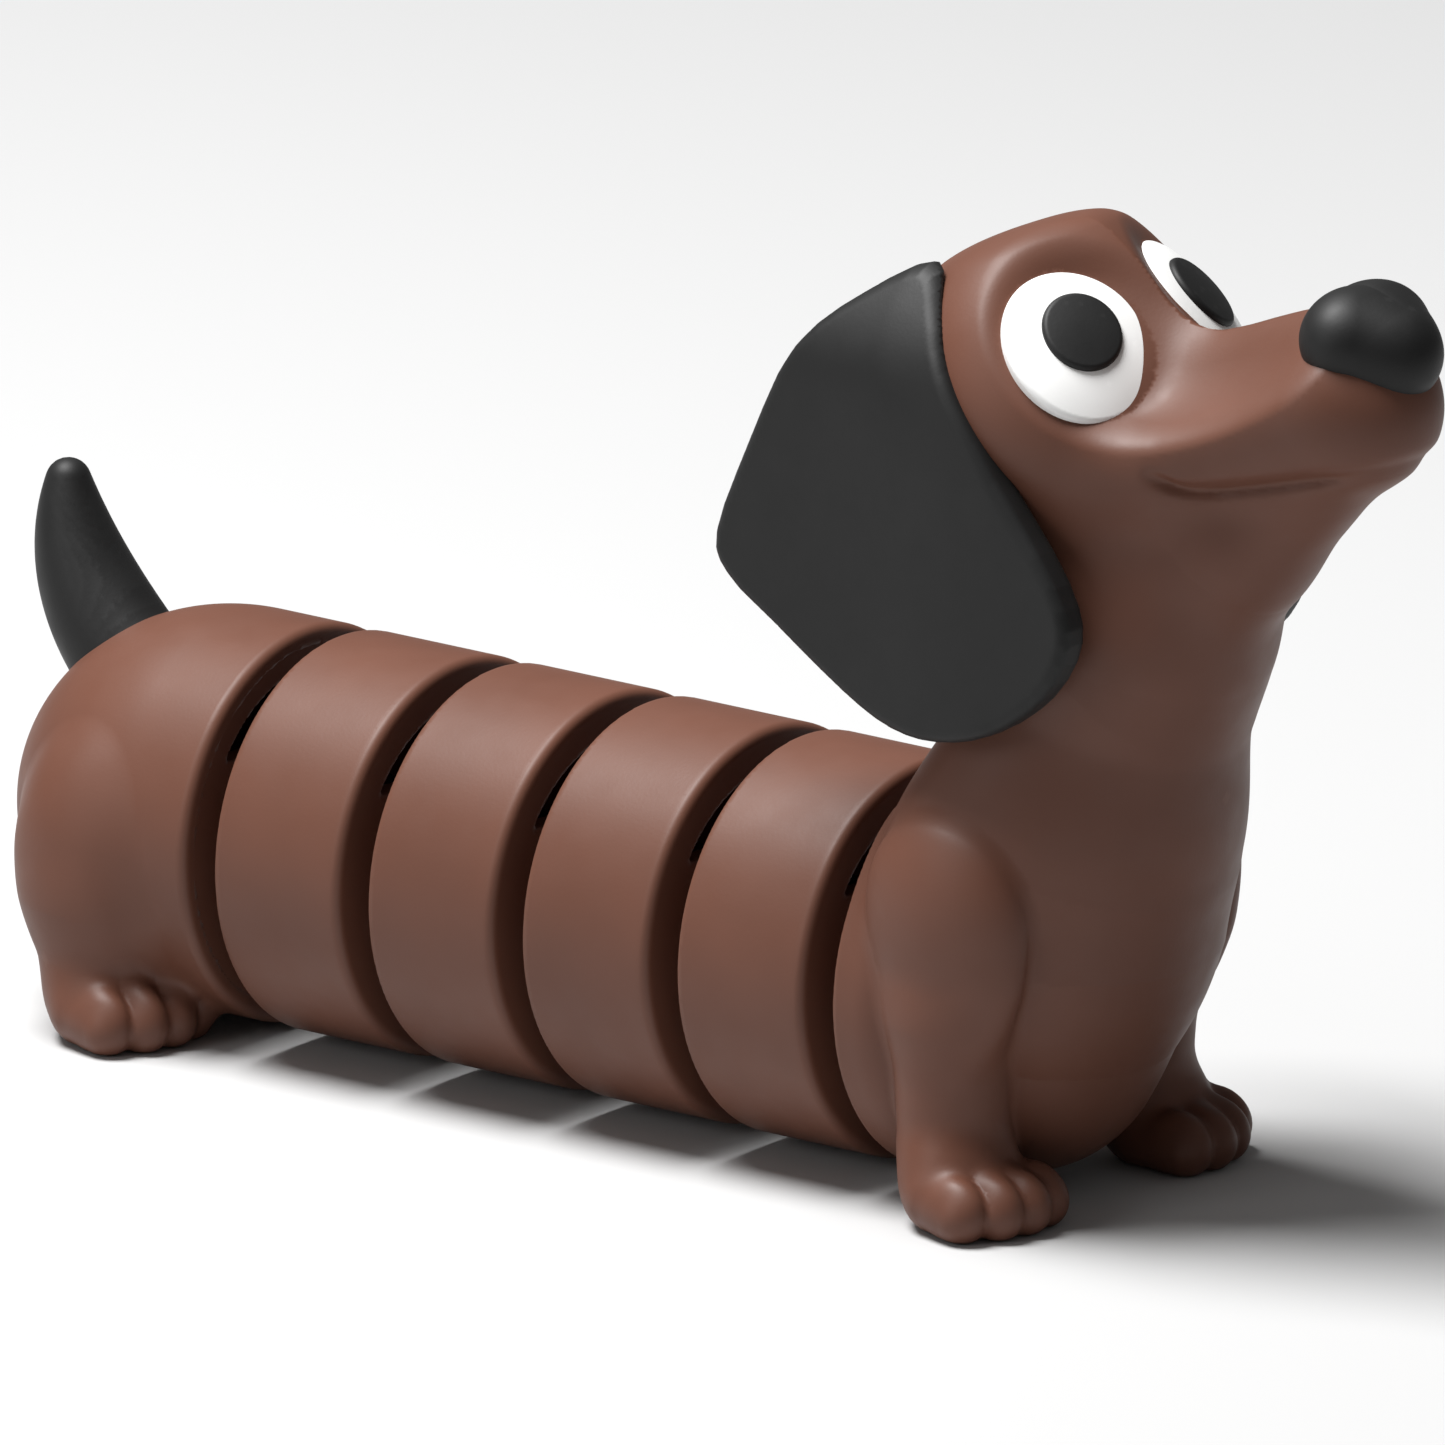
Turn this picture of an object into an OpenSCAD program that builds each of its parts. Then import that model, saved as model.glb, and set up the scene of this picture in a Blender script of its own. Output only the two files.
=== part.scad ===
// Articulated dachshund puzzle: a rump, four drums and a chest with head, joined by five swivel
// links. Each link bends on an upright pin in the section behind it and spins in the section ahead.
// X runs from tail to nose, Y to the dog's left, Z up. The soles of the four paws lie on Z = 0, and
// the origin is below the middle of the whole length.

/* [Body] */
// Outer diameter of the round sections
body_d = 43.5; // [42:0.5:45]
// Length of one drum
drum_len = 17; // [16.5:0.5:19]
// Gap between neighbouring sections
gap = 4; // [3.5:0.1:5]
// Height of the drums above the surface that the paws stand on
belly_gap = 0.5; // [0.3:0.1:1.5]
// Wall thickness of the moulded casings
wall = 2.2; // [1.8:0.1:2.6]
// Rounding of each section's front edge
front_round = 1.1; // [0.8:0.1:1.6]
// Rounding of each section's back edge
back_round = 0.5; // [0.3:0.1:0.8]

/* [Front openings] */
// Thickness of the wall that closes a section's front
front_wall = 3; // [2.5:0.1:3.5]
// Radius of the half-moon opening in the front wall
window_r = 17.4; // [16:0.1:18]
// Height of the opening's lower edge above the body's axis
window_z = 9.8; // [9:0.1:11]

/* [Swivel links] */
// Diameter of the upright hinge pin
pin_d = 4; // [3:0.1:4.5]
// Distance of the hinge pin behind the front face
pin_back = 4; // [3.5:0.1:4.5]
// Radius of the link's hinge barrel
barrel_r = 4.5; // [4.2:0.1:4.8]
// Height of the link's hinge barrel
barrel_h = 7; // [6:0.2:8]
// Thickness of each hinge ear
ear_plate = 2.2; // [2:0.1:2.5]
// Diameter of the spindle that spins in the back plate
spindle_d = 8; // [6.5:0.1:8.5]
// Thickness of a section's back plate
back_plate = 3; // [2.5:0.1:3.5]
// Outer diameter of the steel washer on the spindle's end
washer_d = 14; // [12:0.5:16]
// Diameter of the swivel screw's shank
screw_d = 2.4; // [2:0.1:3]

/* [Fits] */
// Radial clearance of a pin or spindle in its bore
run_fit = 0.05; // [0.02:0.01:0.1]
// Gap between faces that slide past each other
face_fit = 0.3; // [0.2:0.05:0.4]
// Gap between pieces that are glued or pressed together
seat_fit = 0.05; // [0.02:0.01:0.1]

/* [Head] */
// Radius of the skull
skull_r = 18.3; // [18:0.1:18.5]
// Radius of the muzzle's end
muzzle_r = 9; // [8.5:0.1:9.5]
// Radius of the white of an eye
eye_r = 8.6; // [8:0.1:8.8]
// Radius of a pupil
pupil_r = 4.5; // [4:0.1:5]
// Thickness of an ear flap
flap_t = 4.6; // [4:0.1:5]

/* [Hidden] */
$fn = 96;
CASING_FN = 32;
BLEND_FN = 20;
TOE_FN = 12;
ROUND_FN = 24;
PROFILE_FN = 72;
CUT = 0.01;

BROWN = [0.43, 0.30, 0.25];
BLACK = [0.17, 0.17, 0.17];
WHITE = [0.95, 0.95, 0.94];
STEEL = [0.72, 0.73, 0.75];
LINK_BROWN = [0.30, 0.21, 0.17];

body_r = body_d / 2;
core_r = body_r - wall;
pitch = drum_len + gap;
axis_z = body_r + belly_gap;
pin_r = pin_d / 2;
spindle_r = spindle_d / 2;
screw_r = screw_d / 2;
washer_t = 1;
// How far the hinge ears stay behind their section's front face
EAR_ROOT = 1;
DRUMS = 4;
LINKS = DRUMS + 1;

// Points of the animal, measured from the body's axis at the back face of drum 1
chest_x = DRUMS * pitch;
rump_x = -gap - 13;
TAIL = [[-27.5, 0, 12.8, 6], [-33.3, 0, 19.5, 5.8], [-36.4, 0, 26.3, 4.3], [-37.3, 0, 32.3, 2.5]];
// Radius of the tail's peg, its length, and how much of it lies below the tail's first point
TAIL_PEG_R = 3;
TAIL_PEG_LEN = 9;
TAIL_PEG_IN = 5;
SKULL = [chest_x + 15, 0, 67];
CHEEK = [chest_x + 24, 0, 61.5];
CHEEK_R = 15.5;
MUZZLE = [chest_x + 54, 0, 70.6];
JAW = [chest_x + 37, 0, 54];
JAW_R = 9.5;
NECK = [chest_x + 22, 0, 42];
NECK_R = 15.2;
// The chest widens from its back rim by this much for each millimetre, up to the neck
NECK_SLOPE = 1.3;
NECK_RUN = 45;
BREAST = [chest_x + 14, 0, 12];
BREAST_R = 19.3;
KEEL = [chest_x + 11, 0, -6];
KEEL_R = 15.5;
NOSE_BRIDGE = [chest_x + 54, 3.7, 79.2];
NOSE_TIP = [chest_x + 59, 0, 77.2];
NOSE_R = 4.3;
// Length of the round barrel behind the chest
BARREL_LEN = 10;
// The channel that runs up the neck: distance ahead, radius; and the wall round the skull's hollow
NECK_BORE = [chest_x + 17, 9];
CHEST_WALL = 3.2;
SKULL_WALL = 8.2;
// Middle of an eye's rim, and the direction that the eye looks in
EYE = [chest_x + 24.4, 10.4, 74.4];
EYE_YAW = 30.5;
EYE_UP = 42;
// An eye is a domed disc in a round boss; its seat is below the boss's rim
EYE_SEAT = 1.5;
EYE_RISE = 1.3;
EYE_BOSS = 6;
EYE_BOSS_WALL = 1.2;
// Height above an eye's rim where the skull is flattened
FACE_RISE = 0.4;
PUPIL_PROUD = 0.5;
// Offset of a pupil from its eye's middle, forwards and up
PUPIL_FORE = 0.3;
PUPIL_UP = 1;

// A leg is a thigh, an ankle and a paw: x, distance from the middle, height, radius
HIND_LEG = [[rump_x - 2, 13, -1, 11.2], [rump_x - 1.5, 16.4, -13.5, 7]];
FORE_LEG = [[chest_x + 13.5, 12.2, 9, 10.7], [chest_x + 13, 16.2, -12, 6.6]];
HIND_PAW = [rump_x + 1.2, 17.2];
FORE_PAW = [chest_x + 17.2, 17.2];
PAW_LEN = 18;
HEEL_R = 5.6;
// The paw's back end is narrower than the ankle above it by this much
ANKLE_TAPER = 1;
TOES = 4;
TOE_R = 2.9;
// Distance between neighbouring toes, how much they are set back for each millimetre that they
// stand aside, and how far the paws point outwards
TOE_PITCH = 3.9;
TOE_ARC = 0.2;
PAW_TURN = 8;
// Depth that a paw's round underside is cut flat by
TOE_SINK = 0.8;

// An ear's corners: x, distance from the middle, height
EAR = [
    [chest_x + 8.6, 13.6, 78],
    [chest_x + 2, 17.4, 75],
    [chest_x - 4, 19.8, 69.5],
    [chest_x - 14, 20.5, 49.5],
    [chest_x - 12.5, 20.5, 44.5],
    [chest_x + 1, 20.6, 36.4],
    [chest_x + 8, 20.6, 33.6],
    [chest_x + 14.4, 20.4, 33.4],
    [chest_x + 26, 19.6, 40],
    [chest_x + 28.4, 19.2, 45],
    [chest_x + 19, 19.4, 61],
    [chest_x + 12.4, 18.6, 71],
];
// Middle of an ear's peg, its radius and length, and how much of it lies inside the skull
EAR_PEG = [chest_x + 8, 16, 67];
EAR_PEG_R = 2.5;
EAR_PEG_LEN = 9;
EAR_PEG_IN = 5;

// Radius of an eye's dome, which is flush with its rim all round
eye_dome_r = (eye_r * eye_r + EYE_RISE * EYE_RISE) / (2 * EYE_RISE);

// The length runs from the tail's bend to the nose
tail_back = TAIL[2][0] - TAIL[2][3];
nose_front = NOSE_TIP[0] + NOSE_R;
x0 = -(tail_back + nose_front) / 2;

// Places children at the body's axis, at the back face of drum 1
module on_axis() translate([x0, 0, axis_z]) children();

// Places children at the back face of the section ahead of link k
module ahead_of(k) on_axis() translate([(k - 1) * pitch, 0, 0]) children();

// A cylinder along X from x = a to x = b
module bar(r, a, b) translate([a, 0, 0]) rotate([0, 90, 0]) cylinder(r = r, h = b - a);

module ball(p, r) translate([p[0], p[1], p[2]]) sphere(r = r);

// A smooth limb between two balls
module limb(p, rp, q, rq) {
    hull() {
        ball(p, rp, $fn = BLEND_FN);
        ball(q, rq, $fn = BLEND_FN);
    }
}

// A drum's outer form from x = 0 to x = len, with its edges rounded
module drum_form(len, back, front) {
    rotate([0, 90, 0]) rotate_extrude($fn = PROFILE_FN) {
        translate([0, back]) square([body_r, len - back - front]);
        square([body_r - back, back + CUT]);
        translate([0, len - front - CUT]) square([body_r - front, front + CUT]);
        intersection() {
            translate([body_r - back, back]) circle(r = back, $fn = ROUND_FN);
            square([body_r, len]);
        }
        intersection() {
            translate([body_r - front, len - front]) circle(r = front, $fn = ROUND_FN);
            square([body_r, len]);
        }
    }
}

// The hinge ears behind a front wall whose outer face is at x = 0
module hinge_ears() {
    inside = barrel_h / 2 + face_fit;
    reach = pin_back - EAR_ROOT;
    for (side = [-1, 1]) {
        translate([-pin_back, 0, side * (inside + ear_plate / 2)]) {
            difference() {
                union() {
                    cylinder(r = barrel_r, h = ear_plate, center = true);
                    translate([0, -barrel_r, -ear_plate / 2])
                        cube([reach, 2 * barrel_r, ear_plate]);
                }
                cylinder(r = pin_r, h = ear_plate + 1, center = true);
                translate([reach, -barrel_r - 1, -ear_plate])
                    cube([barrel_r, 2 * barrel_r + 2, 2 * ear_plate]);
            }
        }
    }
}

// The half-moon opening and the slot for the link, cut through a front wall that ends at x = 0
module front_openings() {
    slot_w = 2 * (barrel_r + 0.5);
    slot_h = barrel_h + 2 * face_fit;
    intersection() {
        bar(window_r, -front_wall - CUT, CUT);
        translate([-front_wall - 1, -window_r, window_z])
            cube([front_wall + 2, 2 * window_r, window_r]);
    }
    translate([-front_wall - CUT, -slot_w / 2, -slot_h / 2])
        cube([front_wall + 2 * CUT, slot_w, slot_h]);
}

module drum_casing(k) {
    color(BROWN) ahead_of(k) {
        difference() {
            drum_form(drum_len, back_round, front_round);
            bar(core_r, -CUT, drum_len - front_wall);
            translate([drum_len, 0, 0]) front_openings();
        }
        translate([drum_len, 0, 0]) hinge_ears();
    }
}

// The disc that closes the back of the section ahead of link k, and its spindle bore
module back_disc(k) {
    color(BROWN) ahead_of(k) {
        difference() {
            bar(core_r - seat_fit, 0, back_plate);
            bar(spindle_r + run_fit, -CUT, back_plate + CUT);
        }
    }
}

module link(k) {
    pin_x = -gap - pin_back;
    collar_r = spindle_r + 2;
    collar_t = 1;
    color(LINK_BROWN) ahead_of(k) {
        difference() {
            union() {
                translate([pin_x, 0, -barrel_h / 2]) cylinder(r = barrel_r, h = barrel_h);
                bar(barrel_h / 2 - face_fit, pin_x, -face_fit);
                bar(collar_r, -face_fit - collar_t, -face_fit);
                bar(spindle_r, -face_fit - collar_t, back_plate + face_fit);
            }
            translate([pin_x, 0, -barrel_h]) cylinder(r = pin_r + run_fit, h = 2 * barrel_h);
            bar(screw_r, -gap, back_plate + 1);
        }
    }
}

module hinge_pin(k) {
    half = barrel_h / 2 + face_fit + ear_plate;
    head_r = pin_r + 1;
    head_h = 1;
    color(STEEL) ahead_of(k) translate([-gap - pin_back, 0, -half]) {
        cylinder(r = pin_r, h = 2 * half + head_h);
        translate([0, 0, 2 * half]) cylinder(r = head_r, h = head_h);
    }
}

module swivel_washer(k) {
    from = back_plate + face_fit;
    color(STEEL) ahead_of(k) {
        difference() {
            bar(washer_d / 2, from, from + washer_t);
            bar(screw_r + seat_fit, from - CUT, from + washer_t + CUT);
        }
    }
}

module swivel_screw(k) {
    head_r = 2.6;
    head_h = 1.7;
    recess_w = 0.8;
    recess_len = 3.2;
    from = back_plate + face_fit + washer_t;
    color(STEEL) ahead_of(k) {
        difference() {
            union() {
                bar(screw_r, -gap + 1, from + CUT);
                bar(head_r, from, from + head_h);
            }
            for (turn = [0, 90]) {
                translate([from + head_h, 0, 0]) rotate([turn, 0, 0])
                    cube([head_h, recess_len, recess_w], center = true);
            }
        }
    }
}

// A toe that stands aside from the paw's middle line, as a round bar from the heel to its tip
module toe(aside) {
    along = PAW_LEN - HEEL_R - TOE_R - abs(aside) * TOE_ARC;
    hull() {
        ball([0, aside / 2, HEEL_R], HEEL_R - ANKLE_TAPER, $fn = TOE_FN);
        ball([along, aside, TOE_R], TOE_R, $fn = TOE_FN);
    }
}

// One leg and its paw on the given side (-1 right, 1 left), standing on the sole's plane
module leg(joints, paw, side) {
    hip = joints[0];
    ankle = joints[1];
    sole = -axis_z;
    heel = [paw[0] - PAW_LEN / 2 + HEEL_R, paw[1], sole + HEEL_R - TOE_SINK];
    mirror([0, side < 0 ? 1 : 0, 0]) {
        limb(hip, hip[3], ankle, ankle[3]);
        difference() {
            union() {
                limb(ankle, ankle[3] - ANKLE_TAPER, heel, HEEL_R);
                translate([heel[0], heel[1], sole - TOE_SINK]) rotate([0, 0, PAW_TURN]) {
                    for (i = [0 : TOES - 1]) {
                        toe((i - (TOES - 1) / 2) * TOE_PITCH);
                    }
                }
            }
            translate([paw[0] - PAW_LEN, paw[1] - PAW_LEN, sole - PAW_LEN])
                cube([2 * PAW_LEN, 2 * PAW_LEN, PAW_LEN]);
        }
    }
}

module tail_peg(r) {
    along = atan2(TAIL[1][2] - TAIL[0][2], TAIL[1][0] - TAIL[0][0]);
    translate([TAIL[0][0], 0, TAIL[0][2]]) rotate([0, 90 - along, 0])
        translate([0, 0, -TAIL_PEG_IN]) cylinder(r = r, h = TAIL_PEG_LEN);
}

module rear_casing($fn = CASING_FN) {
    front_face = -gap;
    color(BROWN) on_axis() {
        difference() {
            union() {
                translate([rump_x - 1, 0, 0]) drum_form(front_face - rump_x + 1, 1, front_round);
                ball([rump_x, 0, 0], body_r);
                leg(HIND_LEG, HIND_PAW, -1);
                leg(HIND_LEG, HIND_PAW, 1);
            }
            bar(core_r, rump_x, front_face + body_r, $fn = PROFILE_FN);
            ball([rump_x, 0, 0], core_r);
            tail_peg(TAIL_PEG_R + 2 * seat_fit);
        }
    }
}

module rear_bulkhead() {
    front_face = -gap;
    color(BROWN) on_axis() translate([front_face, 0, 0]) {
        difference() {
            bar(core_r - seat_fit, -front_wall, 0);
            front_openings();
        }
        hinge_ears();
    }
}

module tail() {
    color(BLACK) on_axis() {
        difference() {
            for (i = [0 : len(TAIL) - 2]) {
                limb(TAIL[i], TAIL[i][3], TAIL[i + 1], TAIL[i + 1][3]);
            }
            ball([rump_x, 0, 0], body_r + seat_fit);
        }
        intersection() {
            tail_peg(TAIL_PEG_R);
            ball([rump_x, 0, 0], body_r + 1);
        }
    }
}

module head_form() {
    difference() {
        union() {
            ball(SKULL, skull_r);
            limb(SKULL, skull_r - wall, CHEEK, CHEEK_R);
        }
        for (side = [-1, 1]) {
            eye_axis(side) bar(skull_r, FACE_RISE, skull_r);
        }
    }
    hull() {
        ball(CHEEK, CHEEK_R, $fn = BLEND_FN);
        ball(JAW, JAW_R, $fn = BLEND_FN);
        ball(MUZZLE, muzzle_r, $fn = BLEND_FN);
    }
    for (side = [-1, 1]) {
        eye_axis(side) bar(eye_r + EYE_BOSS_WALL, -EYE_BOSS, 0);
    }
}

// The nose, larger than its true form by grow
module nose_form(grow) {
    hull() {
        for (side = [-1, 1]) {
            ball([NOSE_BRIDGE[0], side * NOSE_BRIDGE[1], NOSE_BRIDGE[2]], NOSE_R + grow, $fn = BLEND_FN);
        }
        ball(NOSE_TIP, NOSE_R + grow, $fn = BLEND_FN);
    }
}

// Places children at the middle of an eye's rim, with X out of the face, on the given side
module eye_axis(side) mirror([0, side < 0 ? 1 : 0, 0]) {
    translate(EYE) rotate([0, -EYE_UP, EYE_YAW]) children();
}

// A peg that points outwards from the skull and holds the ear on the given side
module ear_peg(r, side) mirror([0, side < 0 ? 1 : 0, 0]) {
    translate([EAR_PEG[0], EAR_PEG[1] - EAR_PEG_IN, EAR_PEG[2]]) rotate([-90, 0, 0])
        cylinder(r = r, h = EAR_PEG_LEN);
}

// The hollow of chest, neck and skull
module front_hollow() {
    bar(core_r, chest_x - CUT, chest_x + BARREL_LEN - 1, $fn = PROFILE_FN);
    ball([chest_x + BARREL_LEN, 0, 0], KEEL_R);
    ball(BREAST, BREAST_R - CHEST_WALL);
    translate([NECK_BORE[0], 0, BREAST[2]]) cylinder(r = NECK_BORE[1], h = SKULL[2] - BREAST[2]);
    ball(SKULL, skull_r - SKULL_WALL);
}

// Chest and lower neck, which widen steadily from the back rim
module chest_form() {
    intersection() {
        union() {
            hull() {
                ball(BREAST, BREAST_R, $fn = BLEND_FN);
                ball(KEEL, KEEL_R, $fn = BLEND_FN);
                bar(body_r - CUT, chest_x + 2, chest_x + BARREL_LEN / 2);
            }
            limb(BREAST, BREAST_R, NECK, NECK_R);
        }
        translate([chest_x, 0, 0]) rotate([0, 90, 0])
            cylinder(r1 = body_r, r2 = body_r + NECK_SLOPE * NECK_RUN, h = NECK_RUN, $fn = PROFILE_FN);
    }
}

module front_casing($fn = CASING_FN) {
    color(BROWN) on_axis() {
        difference() {
            union() {
                translate([chest_x, 0, 0]) drum_form(BARREL_LEN, back_round, front_round);
                chest_form();
                limb(NECK, NECK_R, SKULL, skull_r - wall);
                head_form();
                leg(FORE_LEG, FORE_PAW, -1);
                leg(FORE_LEG, FORE_PAW, 1);
            }
            front_hollow();
            nose_form(2 * seat_fit);
            for (side = [-1, 1]) {
                eye_axis(side) bar(eye_r + 3 * seat_fit, -EYE_SEAT, skull_r);
                ear_peg(EAR_PEG_R + 2 * seat_fit, side);
            }
        }
    }
}

module ear(side) {
    color(BLACK) on_axis() {
        difference() {
            mirror([0, side < 0 ? 1 : 0, 0]) hull() {
                for (corner = EAR) {
                    ball(corner, flap_t / 2, $fn = BLEND_FN);
                }
            }
            ball(SKULL, skull_r + seat_fit);
            limb(SKULL, skull_r - wall + 2 * seat_fit, NECK, NECK_R + 2 * seat_fit);
            limb(SKULL, skull_r - wall + 2 * seat_fit, CHEEK, CHEEK_R + 2 * seat_fit);
        }
        ear_peg(EAR_PEG_R, side);
    }
}

// The dome of an eye, or of its pupil, in the eye's own axes
module eye_dome(proud) {
    translate([EYE_RISE - eye_dome_r, 0, 0]) sphere(r = eye_dome_r + proud);
}

module eye(side) {
    color(WHITE) on_axis() eye_axis(side) {
        intersection() {
            eye_dome(0);
            bar(eye_r, -EYE_SEAT + seat_fit, skull_r);
        }
    }
}

module pupil(side) {
    color(BLACK) on_axis() eye_axis(side) {
        intersection() {
            difference() {
                eye_dome(PUPIL_PROUD);
                eye_dome(seat_fit);
            }
            translate([0, -PUPIL_FORE, PUPIL_UP]) bar(pupil_r, -EYE_SEAT, skull_r);
        }
    }
}

module nose() {
    color(BLACK) on_axis() nose_form(0);
}

rear_casing();
rear_bulkhead();
tail();
for (k = [1 : DRUMS]) {
    drum_casing(k);
    back_disc(k);
}
front_casing();
back_disc(LINKS);  // front_back_plate
ear(1);  // ear_left
ear(-1);  // ear_right
eye(1);  // eye_left
eye(-1);  // eye_right
pupil(1);  // pupil_left
pupil(-1);  // pupil_right
nose();
for (k = [1 : LINKS]) {
    link(k);
    hinge_pin(k);
    swivel_washer(k);
    swivel_screw(k);
}
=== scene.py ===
import itertools
import math

import bpy
import numpy as np
from mathutils import Matrix, Vector


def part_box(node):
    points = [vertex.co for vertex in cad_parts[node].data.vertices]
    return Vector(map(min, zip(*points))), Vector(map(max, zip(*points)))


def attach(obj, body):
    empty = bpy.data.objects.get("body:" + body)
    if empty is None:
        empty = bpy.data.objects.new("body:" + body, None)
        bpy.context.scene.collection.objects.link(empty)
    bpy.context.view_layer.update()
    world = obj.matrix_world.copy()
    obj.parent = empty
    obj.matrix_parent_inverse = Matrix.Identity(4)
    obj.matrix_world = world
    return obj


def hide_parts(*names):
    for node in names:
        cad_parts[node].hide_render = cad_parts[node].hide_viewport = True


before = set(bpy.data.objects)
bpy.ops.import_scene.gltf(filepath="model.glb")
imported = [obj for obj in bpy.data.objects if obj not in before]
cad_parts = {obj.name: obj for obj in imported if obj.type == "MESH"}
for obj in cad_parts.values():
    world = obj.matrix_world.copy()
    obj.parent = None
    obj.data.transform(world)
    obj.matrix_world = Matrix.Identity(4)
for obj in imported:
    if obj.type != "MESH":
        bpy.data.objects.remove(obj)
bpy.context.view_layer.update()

MM = 0.001
VOXEL = 0.5

# ---------------------------------------------------------------- sizes, from the frame

first_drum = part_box("drum_1_casing")
second_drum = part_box("drum_2_casing")
ORIGIN = np.array([first_drum[0].x, 0.0, (first_drum[0].z + first_drum[1].z) / 2])
BODY_R = (first_drum[1].z - first_drum[0].z) / 2 / MM
DRUM_LEN = (first_drum[1].x - first_drum[0].x) / MM
PITCH = (second_drum[0].x - first_drum[0].x) / MM
GAP = PITCH - DRUM_LEN
DRUMS = 4
CHEST_X = DRUMS * PITCH
RUMP_X = -GAP - 13
SOLE = -ORIGIN[2] / MM

WALL = 2.2
CORE_R = BODY_R - WALL
FRONT_WALL = 3
FRONT_ROUND = 1.1
BACK_ROUND = 0.7
WINDOW_R = 17.4
WINDOW_Z = 9.8
PIN_R = 2
PIN_BACK = 4
BARREL_R = 4.5
BARREL_H = 7
EAR_PLATE = 2.2
SLIDE_FIT = 0.3

# ---------------------------------------------------------------- camera, lights and floor

AZIMUTH = math.radians(38.5)
ELEVATION = math.radians(15.7)
CAMERA_DISTANCE = 6.5
FRAME_WIDTH = 0.15345
SENSOR = 36
TARGET = Vector(ORIGIN) + Vector((2.397, 0, 0.966)) * BODY_R * MM


def add_camera():
    data = bpy.data.cameras.new("camera")
    data.sensor_width = SENSOR
    data.lens = SENSOR * CAMERA_DISTANCE / FRAME_WIDTH
    camera = bpy.data.objects.new("camera", data)
    away = Vector((
        math.sin(AZIMUTH) * math.cos(ELEVATION),
        -math.cos(AZIMUTH) * math.cos(ELEVATION),
        math.sin(ELEVATION),
    ))
    camera.location = TARGET + away * CAMERA_DISTANCE
    camera.rotation_euler = away.to_track_quat("Z", "Y").to_euler()
    bpy.context.scene.collection.objects.link(camera)
    bpy.context.scene.camera = camera


def add_light(name, place, size, power):
    data = bpy.data.lights.new(name, "AREA")
    data.shape = "DISK"
    data.size = size
    data.energy = power
    light = bpy.data.objects.new(name, data)
    light.location = place
    light.rotation_euler = (Vector(place) - TARGET).to_track_quat("Z", "Y").to_euler()
    bpy.context.scene.collection.objects.link(light)


def add_studio():
    scene = bpy.context.scene
    scene.view_settings.view_transform = "Standard"
    world = bpy.data.worlds.new("studio")
    world.use_nodes = True
    background = world.node_tree.nodes["Background"]
    background.inputs["Color"].default_value = (1, 1, 1, 1)
    background.inputs["Strength"].default_value = 0.14
    scene.world = world
    add_light("top_light", (-0.3, -0.2, 1.1), 0.6, 28)
    add_light("side_light", (-0.25, -1.0, 0.45), 0.5, 1.6)

    half = 4.0
    mesh = bpy.data.meshes.new("floor")
    corners = [(-half, -half, 0), (half, -half, 0), (half, half, 0), (-half, half, 0)]
    mesh.from_pydata(corners, [], [(0, 1, 2, 3)])
    floor = bpy.data.objects.new("floor", mesh)
    scene.collection.objects.link(floor)
    material = bpy.data.materials.new("floor")
    material.use_nodes = True
    shader = material.node_tree.nodes["Principled BSDF"]
    shader.inputs["Base Color"].default_value = (0.5, 0.5, 0.5, 1)
    shader.inputs["Roughness"].default_value = 0.9
    mesh.materials.append(material)


# ---------------------------------------------------------------- distance fields


def length(vectors):
    return np.sqrt((vectors * vectors).sum(-1))


def ball(points, centre, radius):
    return length(points - np.array(centre, float)) - radius


def egg(points, centre, radii):
    """An ellipsoid along the axes."""
    radii = np.array(radii, float)
    scaled = (points - np.array(centre, float)) / radii
    size = length(scaled)
    slope = length(scaled / radii) + 1e-9
    return size * (size - 1) / slope


def limb(points, start, start_r, end, end_r):
    """A straight limb between two balls."""
    start = np.array(start, float)
    along = np.array(end, float) - start
    share = np.clip((points - start) @ along / (along @ along), 0, 1)
    return length(points - start - share[:, None] * along) - (start_r + share * (end_r - start_r))


def join(a, b, fillet):
    """The union of two shapes, with a round hollow of that radius where they meet."""
    both = np.sqrt(np.maximum(fillet - a, 0) ** 2 + np.maximum(fillet - b, 0) ** 2)
    return np.maximum(np.minimum(a, b), fillet) - both


def meet(a, b, fillet):
    """What two shapes have in common, with its edge rounded to that radius."""
    return -join(-a, -b, fillet)


def cut(a, b, fillet):
    """Shape a without shape b."""
    return meet(a, -b, fillet)


def melt(a, b, width):
    """A soft union, which swells a little where the two shapes meet."""
    share = np.clip(0.5 + 0.5 * (b - a) / width, 0, 1)
    return b * (1 - share) + a * share - width * share * (1 - share)


def bump(values, width):
    """1 at zero, falling smoothly to 0 about two widths away."""
    return np.exp(-((values / width) ** 2))


def step(values, start, end):
    """0 before start and 1 after end, smooth between."""
    share = np.clip((values - start) / (end - start), 0, 1)
    return share * share * (3 - 2 * share)


# ---------------------------------------------------------------- meshing


def gradient(field, points):
    small = 0.01
    slopes = []
    for axis in range(3):
        shift = np.zeros(3)
        shift[axis] = small
        slopes.append((field(points + shift) - field(points - shift)) / (2 * small))
    return np.stack(slopes, -1)


def settle(field, points, rounds, limit):
    """Moves points onto the surface, each by at most limit in a round."""
    for _ in range(rounds):
        slopes = gradient(field, points)
        size = np.maximum((slopes * slopes).sum(-1), 0.05)
        move = -(field(points) / size)[:, None] * slopes
        too_far = np.maximum(length(move) / limit, 1)
        points = points + move / too_far[:, None]
    return points


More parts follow.
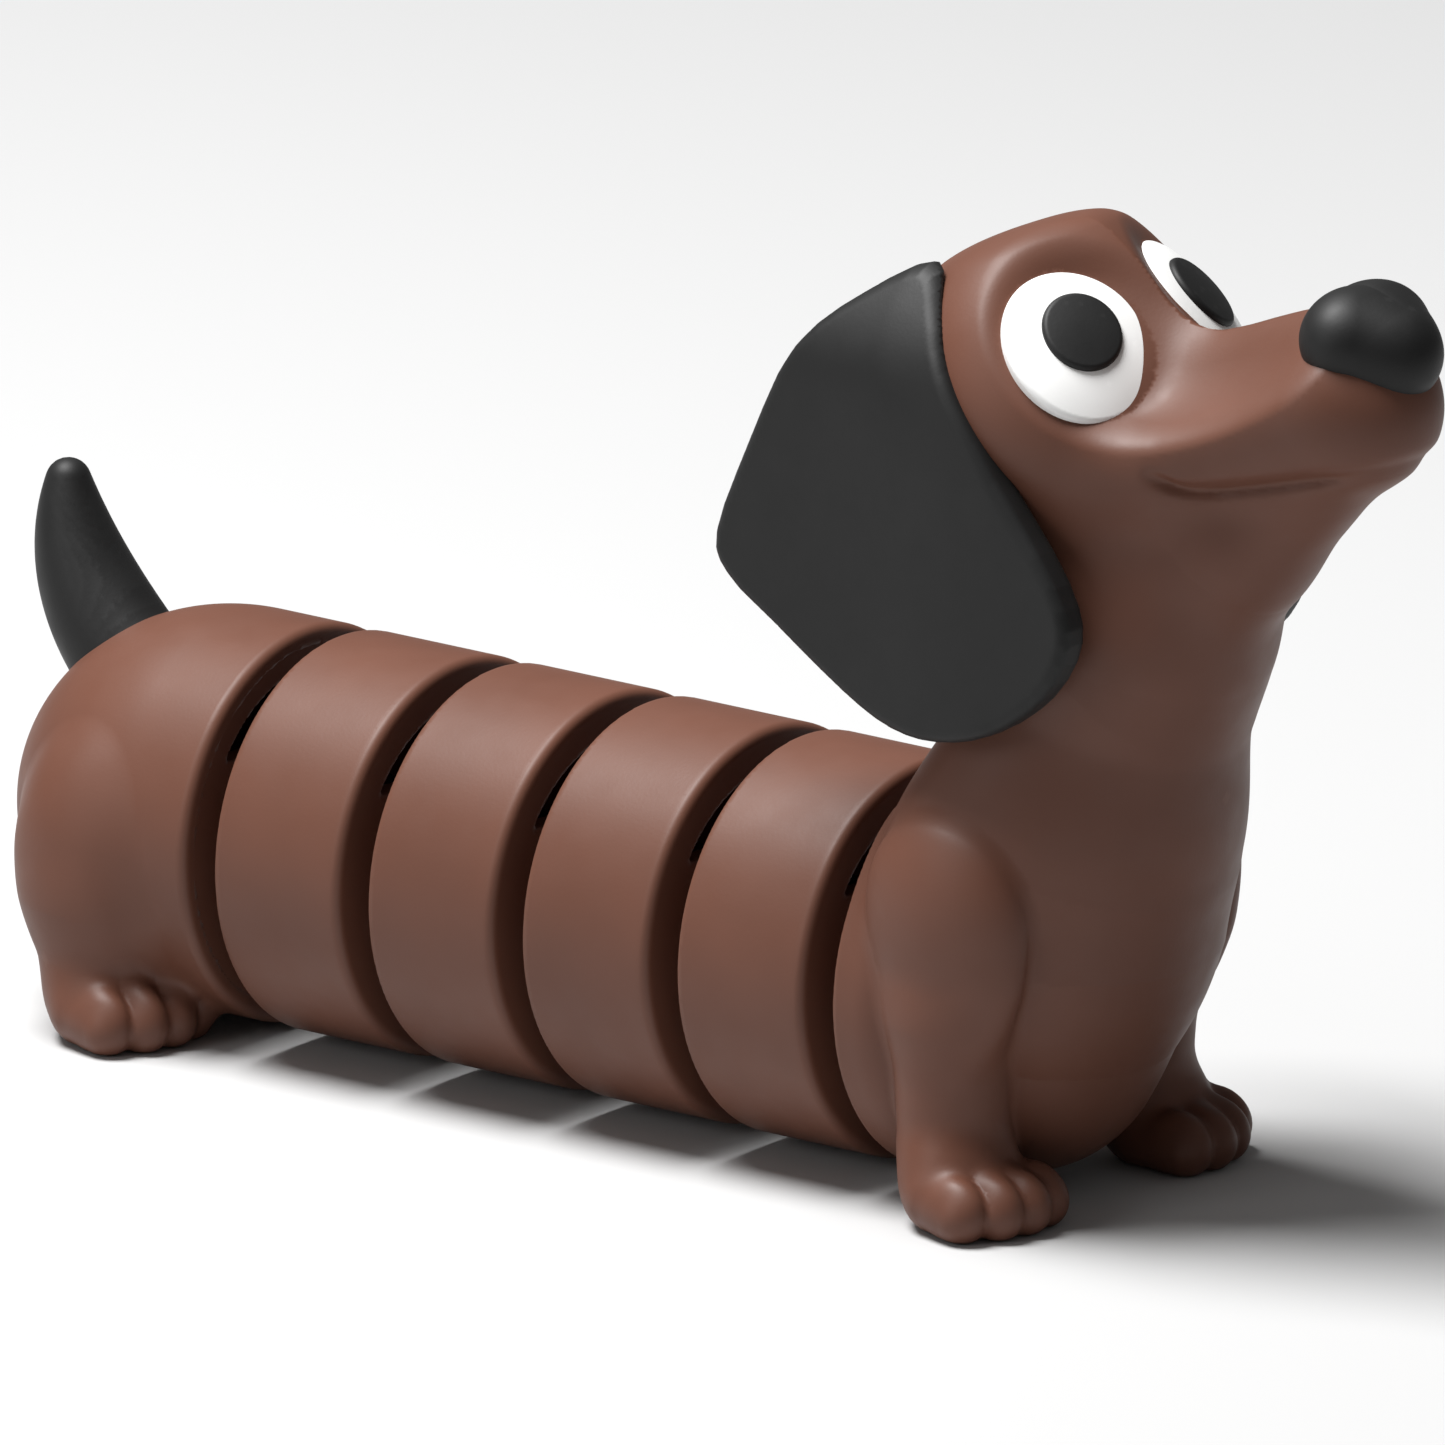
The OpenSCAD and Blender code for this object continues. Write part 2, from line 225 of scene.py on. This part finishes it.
def surface(field, low, high, voxel):
    """Vertices and quads of the surface where field is zero, inside the box from low to high."""
    low = np.array(low, float)
    counts = [int(math.ceil((b - a) / voxel)) + 2 for a, b in zip(low, high)]
    axes = [start + voxel * (np.arange(n) - 0.5) for start, n in zip(low, counts)]
    values = np.empty(counts, np.float32)
    for i, x in enumerate(axes[0]):
        y, z = np.meshgrid(axes[1], axes[2], indexing="ij")
        slab = np.stack([np.full(y.size, x), y.ravel(), z.ravel()], -1)
        values[i] = field(slab).reshape(y.shape)
    inside = values < 0

    corners = list(itertools.product((0, 1), repeat=3))
    cells = [n - 1 for n in counts]
    filled = sum(
        inside[i:i + cells[0], j:j + cells[1], k:k + cells[2]].astype(np.int8) for i, j, k in corners
    )
    active = (filled > 0) & (filled < 8)
    index = np.full(active.shape, -1)
    index[active] = np.arange(active.sum())
    cell = np.argwhere(active)
    total = np.zeros((len(cell), 3))
    crossings = np.zeros(len(cell))
    for a, b in itertools.combinations(corners, 2):
        if sum(abs(p - q) for p, q in zip(a, b)) != 1:
            continue
        at_a = values[tuple((cell + a).T)]
        at_b = values[tuple((cell + b).T)]
        crossed = (at_a < 0) != (at_b < 0)
        share = np.where(crossed, at_a / np.where(crossed, at_a - at_b, 1), 0)
        place = np.array(a) + share[:, None] * (np.array(b) - np.array(a))
        total += np.where(crossed[:, None], place, 0)
        crossings += crossed
    origin = np.array([axis[0] for axis in axes])
    points = origin + voxel * (cell + total / crossings[:, None])

    quads = []
    for axis in range(3):
        order = (axis, (axis + 1) % 3, (axis + 2) % 3)
        turned = inside.transpose(order)
        numbers = index.transpose(order)
        before = turned[:-1, 1:-1, 1:-1]
        change = before != turned[1:, 1:-1, 1:-1]
        i, j, k = np.nonzero(change)
        ring = np.stack(
            [numbers[i, j, k], numbers[i, j + 1, k], numbers[i, j + 1, k + 1], numbers[i, j, k + 1]], -1
        )
        quads.append(np.where(before[change][:, None], ring, ring[:, ::-1]))
    return points, np.concatenate(quads)


def relax(points, quads):
    """Evens out the spacing: each point moves halfway to the middle of its neighbours."""
    starts = quads.ravel()
    ends = np.roll(quads, -1, 1).ravel()
    number = np.bincount(starts, minlength=len(points)) + np.bincount(ends, minlength=len(points))
    middle = np.stack([
        np.bincount(starts, points[ends, axis], len(points))
        + np.bincount(ends, points[starts, axis], len(points))
        for axis in range(3)
    ], -1)
    return (points + middle / number[:, None]) / 2


def mould(name, field, low, high, voxel=VOXEL):
    """A Blender object whose surface is where field is zero."""
    points, quads = surface(field, low, high, voxel)
    points = settle(field, points, 2, voxel / 2)
    for _ in range(2):
        points = settle(field, relax(points, quads), 2, voxel / 2)
    slopes = gradient(field, points)
    normals = slopes / np.maximum(length(slopes), 1e-6)[:, None]
    mesh = bpy.data.meshes.new(name)
    mesh.from_pydata((points * MM + ORIGIN).tolist(), [], quads.tolist())
    mesh.polygons.foreach_set("use_smooth", np.ones(len(quads), bool))
    mesh.normals_split_custom_set_from_vertices(normals.tolist())
    piece = bpy.data.objects.new(name, mesh)
    bpy.context.scene.collection.objects.link(piece)
    return piece


# ---------------------------------------------------------------- fields of the casings


def radial(points):
    """Distance from the body's axis."""
    return np.hypot(points[:, 1], points[:, 2])


def folded(points):
    """The points with the right half mirrored onto the left."""
    return points * [1, 0, 1] + np.abs(points) * [0, 1, 0]


def tube(points, radius, start, end, start_round, end_round):
    """A solid bar along the body's axis, with its two edges rounded."""
    x = points[:, 0]
    return meet(meet(radial(points) - radius, x - end, end_round), start - x, start_round)


def front_openings(points, face):
    """The half-moon opening and the link's slot, through a front wall that ends at x = face."""
    x, y, z = points.T
    moon = meet(radial(points) - WINDOW_R, WINDOW_Z - z, 0.8)
    slot = np.maximum(abs(y) - BARREL_R - 0.5, abs(z) - BARREL_H / 2 - SLIDE_FIT)
    return np.maximum(np.minimum(moon, slot), face - FRONT_WALL - 1 - x)


def hinge_ears(points, face):
    """The two ears behind a front wall that hold the upright hinge pin."""
    x, y, z = points.T
    inner = BARREL_H / 2 + SLIDE_FIT
    axis_x = face - PIN_BACK
    across = np.hypot(np.minimum(x - axis_x, 0), y) - BARREL_R
    plate = meet(across, abs(abs(z) - inner - EAR_PLATE / 2) - EAR_PLATE / 2, 0.3)
    plate = np.maximum(plate, x - face + 1)
    pin = np.hypot(x - axis_x, y) - PIN_R
    return cut(plate, pin, 0.1)


def drum_field(points):
    outer = tube(points, BODY_R, 0, DRUM_LEN, BACK_ROUND, FRONT_ROUND)
    hollow = tube(points, CORE_R, -5, DRUM_LEN - FRONT_WALL, 0.1, 0.8)
    shell = cut(outer, hollow, 0.3)
    shell = cut(shell, front_openings(points, DRUM_LEN), 0.35)
    return join(shell, hinge_ears(points, DRUM_LEN), 0.3)


def bulkhead_field(points):
    disc = tube(points, CORE_R + 0.6, -GAP - FRONT_WALL, -GAP - 0.1, 0.2, 0.1)
    disc = cut(disc, front_openings(points, -GAP), 0.35)
    return join(disc, hinge_ears(points, -GAP), 0.3)


def paw_field(points, heel, height):
    """The left paw: a heel and four toes side by side, the outer ones set back a little."""
    turn = math.radians(6)
    c, s = math.cos(turn), math.sin(turn)
    x, y, z = (points - [heel[0], heel[1], SOLE]).T
    ahead, aside = x * c + y * s, y * c - x * s
    local = np.stack([ahead, aside, z], -1)
    paw = limb(local, (0, -1.6, 4.6), 5.2, (0, 1.8, 4.4), 5.3)
    paw = melt(paw, limb(local, (0, 0, 4.8), 5.4, (3.6, 0, 3.2), 4.6), 2)
    half = height / 2
    toes = None
    for place, reach in ((-5, 9.9), (-1.6, 10.7), (1.9, 10.2), (5.4, 8.2)):
        toe = limb(local, (1, place * 0.8, half), half, (reach - 2.9, place, 2.7), 2.9)
        toe = melt(toe, egg(local, (reach - 4.1, place, half), (4.1, 2.5, half)), 0.8)
        toes = toe if toes is None else join(toes, toe, 0.5)
    return melt(paw, toes, 1.2)


def leg_field(points, thigh, shank, paw):
    """A leg with its paw: the thigh is an egg and the shank a limb between two balls."""
    leg = melt(egg(points, *thigh), limb(points, *shank), 4)
    return melt(leg, paw, 3)


def rump_field(q):
    """The back of the body, which is a little flatter than a ball."""
    back = egg(q, (-14, 0, 0), (24.9, BODY_R, BODY_R))
    return np.where(q[:, 0] > -14, radial(q) - BODY_R, back)


def rear_field(points):
    q = folded(points)
    x, _, z = q.T
    rump = meet(rump_field(q), x + GAP, FRONT_ROUND)
    leg = leg_field(
        q,
        ((RUMP_X - 2.4, 15.4, -3), (10.8, 8.9, 14)),
        ((RUMP_X - 2, 16, -8), 7.4, (RUMP_X - 2.2, 16.2, -14), 6.2),
        paw_field(q, (RUMP_X - 1.4, 16.8), 7.2),
    )
    body = join(rump, leg, 2)
    body = cut(body, z - SOLE, 0.4)
    hollow = np.where(x > -14, radial(q) - CORE_R, ball(q, (-14, 0, 0), CORE_R))
    return cut(body, hollow, 0.3)


# Points of the front, in millimetres
SKULL = (CHEST_X + 15, 0, 67.3)
SKULL_R = 18.3
CROWN_TILT = math.radians(24)
EYE = np.array([CHEST_X + 24.4, 10.4, 74.4])
EYE_WIDE = 8.1
EYE_HIGH = 9.1
EYE_YAW = math.radians(30.5)
EYE_UP = math.radians(42)
EYE_ROLL = math.radians(-12.6)
EYE_RISE = 1.3
EYE_DOME_R = (EYE_WIDE ** 2 + EYE_RISE ** 2) / (2 * EYE_RISE)
EYE_DOME = (EYE_RISE - EYE_DOME_R, 0, 0)
EYE_AXIS = np.array([
    math.cos(EYE_YAW) * math.cos(EYE_UP),
    math.sin(EYE_YAW) * math.cos(EYE_UP),
    math.sin(EYE_UP),
])
EYE_SIDE = np.array([-math.sin(EYE_YAW), math.cos(EYE_YAW), 0])
EYE_TOP = np.cross(EYE_AXIS, EYE_SIDE)


def eye_frame(points):
    """Points in an eye's own axes: out of the face, backwards round the head, up."""
    q = folded(points) - EYE
    return np.stack([q @ EYE_AXIS, q @ EYE_SIDE, q @ EYE_TOP], -1)


def disc_edge(local, side, up, half_wide, half_high, tilt):
    """Distance outside an oval cylinder along the eye's axis."""
    c, s = math.cos(tilt), math.sin(tilt)
    a = (local[:, 1] - side) * c + (local[:, 2] - up) * s
    b = (local[:, 2] - up) * c - (local[:, 1] - side) * s
    flat = np.stack([a, b, np.zeros(len(a))], -1)
    return egg(flat, (0, 0, 0), (half_wide, half_high, 1))


def eye_outline(local):
    return disc_edge(local, 0, 0, EYE_WIDE, EYE_HIGH, EYE_ROLL)


def eye_field(points):
    local = eye_frame(points)
    front = meet(eye_outline(local), ball(local, EYE_DOME, EYE_DOME_R), 0.5)
    return np.maximum(front, -1.5 - local[:, 0])


def pupil_field(points):
    local = eye_frame(points)
    outer = ball(local, EYE_DOME, EYE_DOME_R + 0.6)
    edge = disc_edge(local, -0.3, 1.0, 4.4, 4.7, 0)
    inner = ball(local, EYE_DOME, EYE_DOME_R - 0.3)
    return np.maximum(meet(edge, outer, 0.5), -inner)


def nose_field(points):
    q = folded(points)
    tip = (CHEST_X + 58, 0, 77)
    side = limb(q, (CHEST_X + 54.4, 3.6, 78.5), 4.6, tip, 4.5)
    middle = limb(q, (CHEST_X + 54, 0, 78.7), 4.6, tip, 4.5)
    return melt(side, middle, 4)


def head_field(q):
    x, _, z = q.T
    local = eye_frame(q)
    crown = (z - 86.6) * math.cos(CROWN_TILT) - (x - CHEST_X - 16.8) * math.sin(CROWN_TILT)
    skull = meet(ball(q, SKULL, SKULL_R), crown, 3)
    cheek = ball(q, (CHEST_X + 24, 0, 61.5), 15.5)
    head = melt(skull, cheek, 5)
    pad = egg(local, (-7.8, 0, 0), (7.4, EYE_WIDE + 3.4, EYE_HIGH + 3.6))
    head = melt(head, pad, 6)
    head = meet(head, local[:, 0] - 1.2, 3)
    muzzle = limb(q, (CHEST_X + 32, 0, 63.9), 10.3, (CHEST_X + 50.5, 0, 71.9), 8.7)
    muzzle = melt(muzzle, limb(q, (CHEST_X + 46, 0, 68.5), 8.4, (CHEST_X + 54, 0, 70.6), 8.7), 3)
    lip = limb(q, (CHEST_X + 35, 6, 64.5), 7.6, (CHEST_X + 50, 3.4, 71), 6.8)
    jaw = limb(q, (CHEST_X + 37, 0, 53.5), 8.5, (CHEST_X + 53, 0, 68.5), 7.1)
    muzzle = melt(melt(muzzle, lip, 4), jaw, 3)
    head = melt(head, muzzle, 6)
    throat = limb(q, (CHEST_X + 23.4, 0, 42), 14.4, (CHEST_X + 36.6, 0, 53.5), 8.4)
    head = melt(head, throat, 5)
    beside = np.maximum(eye_outline(local), 0)
    slope = 0.5 + 0.08 * beside
    bowl = local[:, 0] + 0.3 - slope * beside
    return meet(head, bowl / np.sqrt(1 + slope ** 2), 2.5)


def mouth(q):
    """How far the surface steps in along the mouth, which rises gently to the front."""
    x, _, z = q.T
    ahead = x - CHEST_X
    past = ahead - 42
    line = 61.2 + 0.12 * (past + np.sqrt(past ** 2 + 4)) + 1.3 * step(ahead, 40, 35.5)
    shown = step(ahead, 35, 38)
    groove = (1.1 - 0.6 * step(ahead, 53, 58)) * bump(z - line, 0.85) * shown
    lower_lip = 0.25 * step(line - z, 0, 1.2) * step(z - line, -9, -3) * shown
    return groove + lower_lip


def front_field(points):
    q = folded(points)
    x, _, z = q.T
    barrel = tube(q, BODY_R, CHEST_X, CHEST_X + 9, BACK_ROUND, 6)
    breast = limb(q, (CHEST_X + 10, 0, 7), 19.6, (CHEST_X + 13.8, 0, 20), 19)
    keel = limb(q, (CHEST_X + 8.5, 0, -5), 15.8, (CHEST_X + 10, 0, 7), 19.6)
    neck = limb(q, (CHEST_X + 13.8, 0, 20), 19, (CHEST_X + 23, 0, 42), 14.8)
    body = melt(melt(breast, keel, 4), neck, 4)
    body = meet(body, (radial(q) - BODY_R - 1.3 * (x - CHEST_X)) / 1.64, 3)
    nape = limb(q, (CHEST_X + 23, 0, 42), 14.8, (CHEST_X + 17, 0, 64), 14.8)
    body = melt(body, nape, 4)
    body = melt(body, head_field(q), 4)
    body = body + mouth(q)
    body = join(barrel, body, 2)
    leg = leg_field(
        q,
        ((CHEST_X + 13, 18.2, 8.5), (10, 4.6, 13)),
        ((CHEST_X + 12, 15.4, -1), 6.8, (CHEST_X + 11.8, 15.8, -13), 5.9),
        paw_field(q, (CHEST_X + 13.6, 16.6), 6.9),
    )
    shoulder = egg(q, (CHEST_X + 12.8, 16.8, 13.6), (9.8, 6.2, 9.8))
    body = join(body, melt(leg, shoulder, 3), 0.9)
    body = np.maximum(body, CHEST_X - x)
    body = cut(body, z - SOLE, 0.4)
    hollow = tube(q, CORE_R, CHEST_X - 5, CHEST_X + 8, 0.1, 3)
    return cut(body, hollow, 0.3)


# ---------------------------------------------------------------- fields of the black pieces


# The tail's middle line is a curve with two control points: distance ahead, height, radius
TAIL_CURVE = [(-27, 12.3, 6.3), (-35.3, 19.6, 6.4), (-37.1, 26.8, 4.4), (-37.3, 32.3, 2.5)]


def tail_field(points):
    bends = 60
    shares = np.linspace(0, 1, bends + 1)[:, None]
    a, b, c, d = np.array(TAIL_CURVE, float)
    keep = 1 - shares
    line = a * keep ** 3 + 3 * b * keep ** 2 * shares + 3 * c * keep * shares ** 2 + d * shares ** 3
    tail = np.full(len(points), 99.0)
    for (x0, z0, r0), (x1, z1, r1) in zip(line[:-1], line[1:]):
        tail = np.minimum(tail, limb(points, (x0, 0, z0), r0, (x1, 0, z1), r1))
    return cut(tail, rump_field(points) + 1, 0.2)


# Outline of an ear: distance ahead of the chest's back face, and height
EAR_OUTLINE = [
    (6.2, 80.8), (-0.6, 77), (-6.6, 71.2), (-12.4, 60), (-16.6, 49.4), (-14.8, 44.8), (-8.2, 40.6),
    (1.4, 35), (8.2, 32.2), (14.6, 31.8), (21.4, 33.6), (27.9, 38.4), (31, 44.6), (29, 50.8),
    (21.1, 61.3), (13.6, 71.6), (10.2, 77),
]


def smooth_outline(corners, between):
    """A closed curve through the corners."""
    corners = np.array(corners, float)
    before, after, last = np.roll(corners, 1, 0), np.roll(corners, -1, 0), np.roll(corners, -2, 0)
    curve = []
    for t in np.arange(between) / between:
        curve.append(0.5 * (
            2 * corners + (after - before) * t + (2 * before - 5 * corners + 4 * after - last) * t ** 2
            + (3 * corners - before - 3 * after + last) * t ** 3
        ))
    return np.stack(curve, 1).reshape(-1, 2)


EAR_CURVE = smooth_outline(EAR_OUTLINE, 3) + [CHEST_X, 0]


def outline_distance(flat, curve):
    """Signed distance from a closed outline, negative inside it."""
    best = np.full(len(flat), 1e9)
    inside = np.zeros(len(flat), bool)
    for a, b in zip(curve, np.roll(curve, -1, 0)):
        edge = b - a
        from_a = flat - a
        share = np.clip(from_a @ edge / (edge @ edge), 0, 1)
        best = np.minimum(best, length(from_a - share[:, None] * edge))
        crosses = (a[1] <= flat[:, 1]) != (b[1] <= flat[:, 1])
        if a[1] != b[1]:
            at = a[0] + (flat[:, 1] - a[1]) / (b[1] - a[1]) * edge[0]
            inside ^= crosses & (flat[:, 0] < at)
    return np.where(inside, -best, best)


# Radius that the top of an ear bends round the skull with, at the middle of its thickness
EAR_BEND = 19.6


def ear_field(points):
    q = folded(points)
    x, y, z = q.T
    rim = outline_distance(q[:, [0, 2]], EAR_CURVE)
    rise = np.clip(z - SKULL[2], 0, 15)
    ahead = 12 * np.tanh((x - SKULL[0]) / 12)
    bend = EAR_BEND - 1.3 * step(z, 70, 81)
    middle = np.sqrt(bend ** 2 - rise ** 2 - 0.3 * ahead ** 2)
    shell = abs(y - middle - 1.4 * step(z, 58, 30)) * middle / bend - 2.1 + 0.8 * step(z, 66, 80)
    shell = shell + 0.6 * step(x - CHEST_X, 4, 12) * step(z, 60, 72)
    edge = meet(rim, shell, 1.3)
    return cut(edge, ball(q, SKULL, SKULL_R - 1), 0.2)


# ---------------------------------------------------------------- materials


class Nodes:
    """A small helper that adds nodes to one material and links them."""

    def __init__(self, name):
        self.material = bpy.data.materials.new(name)
        self.material.use_nodes = True
        self.tree = self.material.node_tree
        self.shader = self.tree.nodes["Principled BSDF"]
        self.place = self.add("ShaderNodeTexCoord").outputs["Object"]

    def add(self, kind, **values):
        node = self.tree.nodes.new(kind)
        for key, value in values.items():
            setattr(node, key, value)
        return node

    def link(self, source, target):
        self.tree.links.new(source, target)

    def noise(self, scale, detail=2.0):
        node = self.add("ShaderNodeTexNoise")
        node.inputs["Scale"].default_value = scale
        node.inputs["Detail"].default_value = detail
        self.link(self.place, node.inputs["Vector"])
        return node.outputs["Fac"]

    def spread(self, source, low, high, to_low, to_high):
        node = self.add("ShaderNodeMapRange")
        for key, value in zip(("From Min", "From Max", "To Min", "To Max"), (low, high, to_low, to_high)):
            node.inputs[key].default_value = value
        self.link(source, node.inputs["Value"])
        return node.outputs["Result"]

    def blend(self, factor, first, second):
        """Mixes two colours; each is a colour or an output."""
        node = self.add("ShaderNodeMix", data_type="RGBA")
        self.link(factor, node.inputs["Factor"])
        for value, socket in ((first, node.inputs[6]), (second, node.inputs[7])):
            if isinstance(value, tuple):
                socket.default_value = value + (1,)
            else:
                self.link(value, socket)
        return node.outputs[2]

    def bumps(self, height, strength, distance):
        node = self.add("ShaderNodeBump")
        node.inputs["Strength"].default_value = strength
        node.inputs["Distance"].default_value = distance
        self.link(height, node.inputs["Height"])
        self.link(node.outputs["Normal"], self.shader.inputs["Normal"])


def moulded_plastic(name, base, worn, roughness, grain=1.0):
    """Satin moulded plastic: a faint cloudiness, a fine grain and slightly rubbed edges."""
    nodes = Nodes(name)
    darker = tuple(channel * 0.93 for channel in base)
    lighter = tuple(min(1, channel * 1.06) for channel in base)
    clouds = nodes.spread(nodes.noise(45, 3), 0.35, 0.65, 0, 1)
    colour = nodes.blend(clouds, darker, lighter)
    edges = nodes.add("ShaderNodeNewGeometry").outputs["Pointiness"]
    rubbed = nodes.spread(edges, 0.515, 0.58, 0, 0.35)
    nodes.link(nodes.blend(rubbed, colour, worn), nodes.shader.inputs["Base Color"])
    sheen = nodes.spread(nodes.noise(260, 2), 0.3, 0.7, roughness - 0.03, roughness + 0.04)
    nodes.link(sheen, nodes.shader.inputs["Roughness"])
    nodes.bumps(nodes.noise(2400, 2), 0.05 * grain, 0.0002)
    nodes.shader.inputs["Specular IOR Level"].default_value = 0.32
    return nodes.material


def brushed_steel(name):
    nodes = Nodes(name)
    scratches = nodes.noise(900, 4)
    tone = nodes.spread(scratches, 0.3, 0.7, 0, 1)
    nodes.link(nodes.blend(tone, (0.5, 0.51, 0.53), (0.66, 0.67, 0.69)), nodes.shader.inputs["Base Color"])
    nodes.link(nodes.spread(scratches, 0.3, 0.7, 0.24, 0.4), nodes.shader.inputs["Roughness"])
    nodes.shader.inputs["Metallic"].default_value = 1
    nodes.bumps(scratches, 0.04, 0.0001)
    return nodes.material


BROWN = moulded_plastic("brown_plastic", (0.12, 0.047, 0.029), (0.16, 0.074, 0.05), 0.5)
BLACK = moulded_plastic("black_plastic", (0.008, 0.008, 0.008), (0.019, 0.019, 0.019), 0.54)
WHITE = moulded_plastic("white_plastic", (0.86, 0.86, 0.85), (0.9, 0.9, 0.89), 0.35, 0.6)
LINK = moulded_plastic("link_plastic", (0.09, 0.05, 0.038), (0.13, 0.08, 0.06), 0.5)
STEEL = brushed_steel("steel")


# ---------------------------------------------------------------- pieces


def finish_piece(piece, node, body, material):
    piece.data.materials.clear()
    piece.data.materials.append(material)
    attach(piece, body)
    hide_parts(node)


def around(node, margin=2.0):
    """A node's box in the animal's frame, a little larger, in millimetres."""
    low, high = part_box(node)
    low = (np.array(low) - ORIGIN) / MM - margin
    high = (np.array(high) - ORIGIN) / MM + margin
    return low, high


def one_side(field, side):
    """The field on the left (1) or the right (-1) side only."""
    return lambda points: np.maximum(field(points), -side * points[:, 1])


def add_pieces():
    rear = mould("rear_casing_skin", rear_field, *around("rear_casing"))
    finish_piece(rear, "rear_casing", "rear_section", BROWN)
    wall = mould("rear_bulkhead_skin", bulkhead_field, *around("rear_bulkhead"))
    finish_piece(wall, "rear_bulkhead", "rear_section", BROWN)
    tail = mould("tail_skin", tail_field, *around("tail"))
    finish_piece(tail, "tail", "rear_section", BLACK)

    drum = mould("drum_1_casing_skin", drum_field, *around("drum_1_casing"))
    for k in range(1, DRUMS + 1):
        piece = drum
        if k > 1:
            piece = bpy.data.objects.new(f"drum_{k}_casing_skin", drum.data.copy())
            piece.data.transform(Matrix.Translation(((k - 1) * PITCH * MM, 0, 0)))
            bpy.context.scene.collection.objects.link(piece)
        finish_piece(piece, f"drum_{k}_casing", f"drum_{k}", BROWN)

    front = mould("front_casing_skin", front_field, *around("front_casing"))
    finish_piece(front, "front_casing", "front_section", BROWN)
    nose = mould("nose_skin", nose_field, *around("nose"), voxel=VOXEL * 0.7)
    finish_piece(nose, "nose", "front_section", BLACK)
    for name, side in (("left", 1), ("right", -1)):
        low, high = around(f"ear_{name}", 5)
        ear = mould(f"ear_{name}_skin", one_side(ear_field, side), low, high, VOXEL)
        finish_piece(ear, f"ear_{name}", "front_section", BLACK)
        eye = mould(f"eye_{name}_skin", one_side(eye_field, side), *around(f"eye_{name}"), voxel=VOXEL * 0.5)
        finish_piece(eye, f"eye_{name}", "front_section", WHITE)
        low, high = around(f"pupil_{name}")
        pupil = mould(f"pupil_{name}_skin", one_side(pupil_field, side), low, high, VOXEL * 0.4)
        finish_piece(pupil, f"pupil_{name}", "front_section", BLACK)


def dress_cad_nodes():
    """Gives the CAD shapes that stay their materials."""
    for name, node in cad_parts.items():
        if name.startswith("link"):
            material = LINK
        elif name.startswith(("hinge_pin", "swivel")):
            material = STEEL
        else:
            material = BROWN
        node.data.materials.clear()
        node.data.materials.append(material)


add_camera()
add_studio()
add_pieces()
dress_cad_nodes()
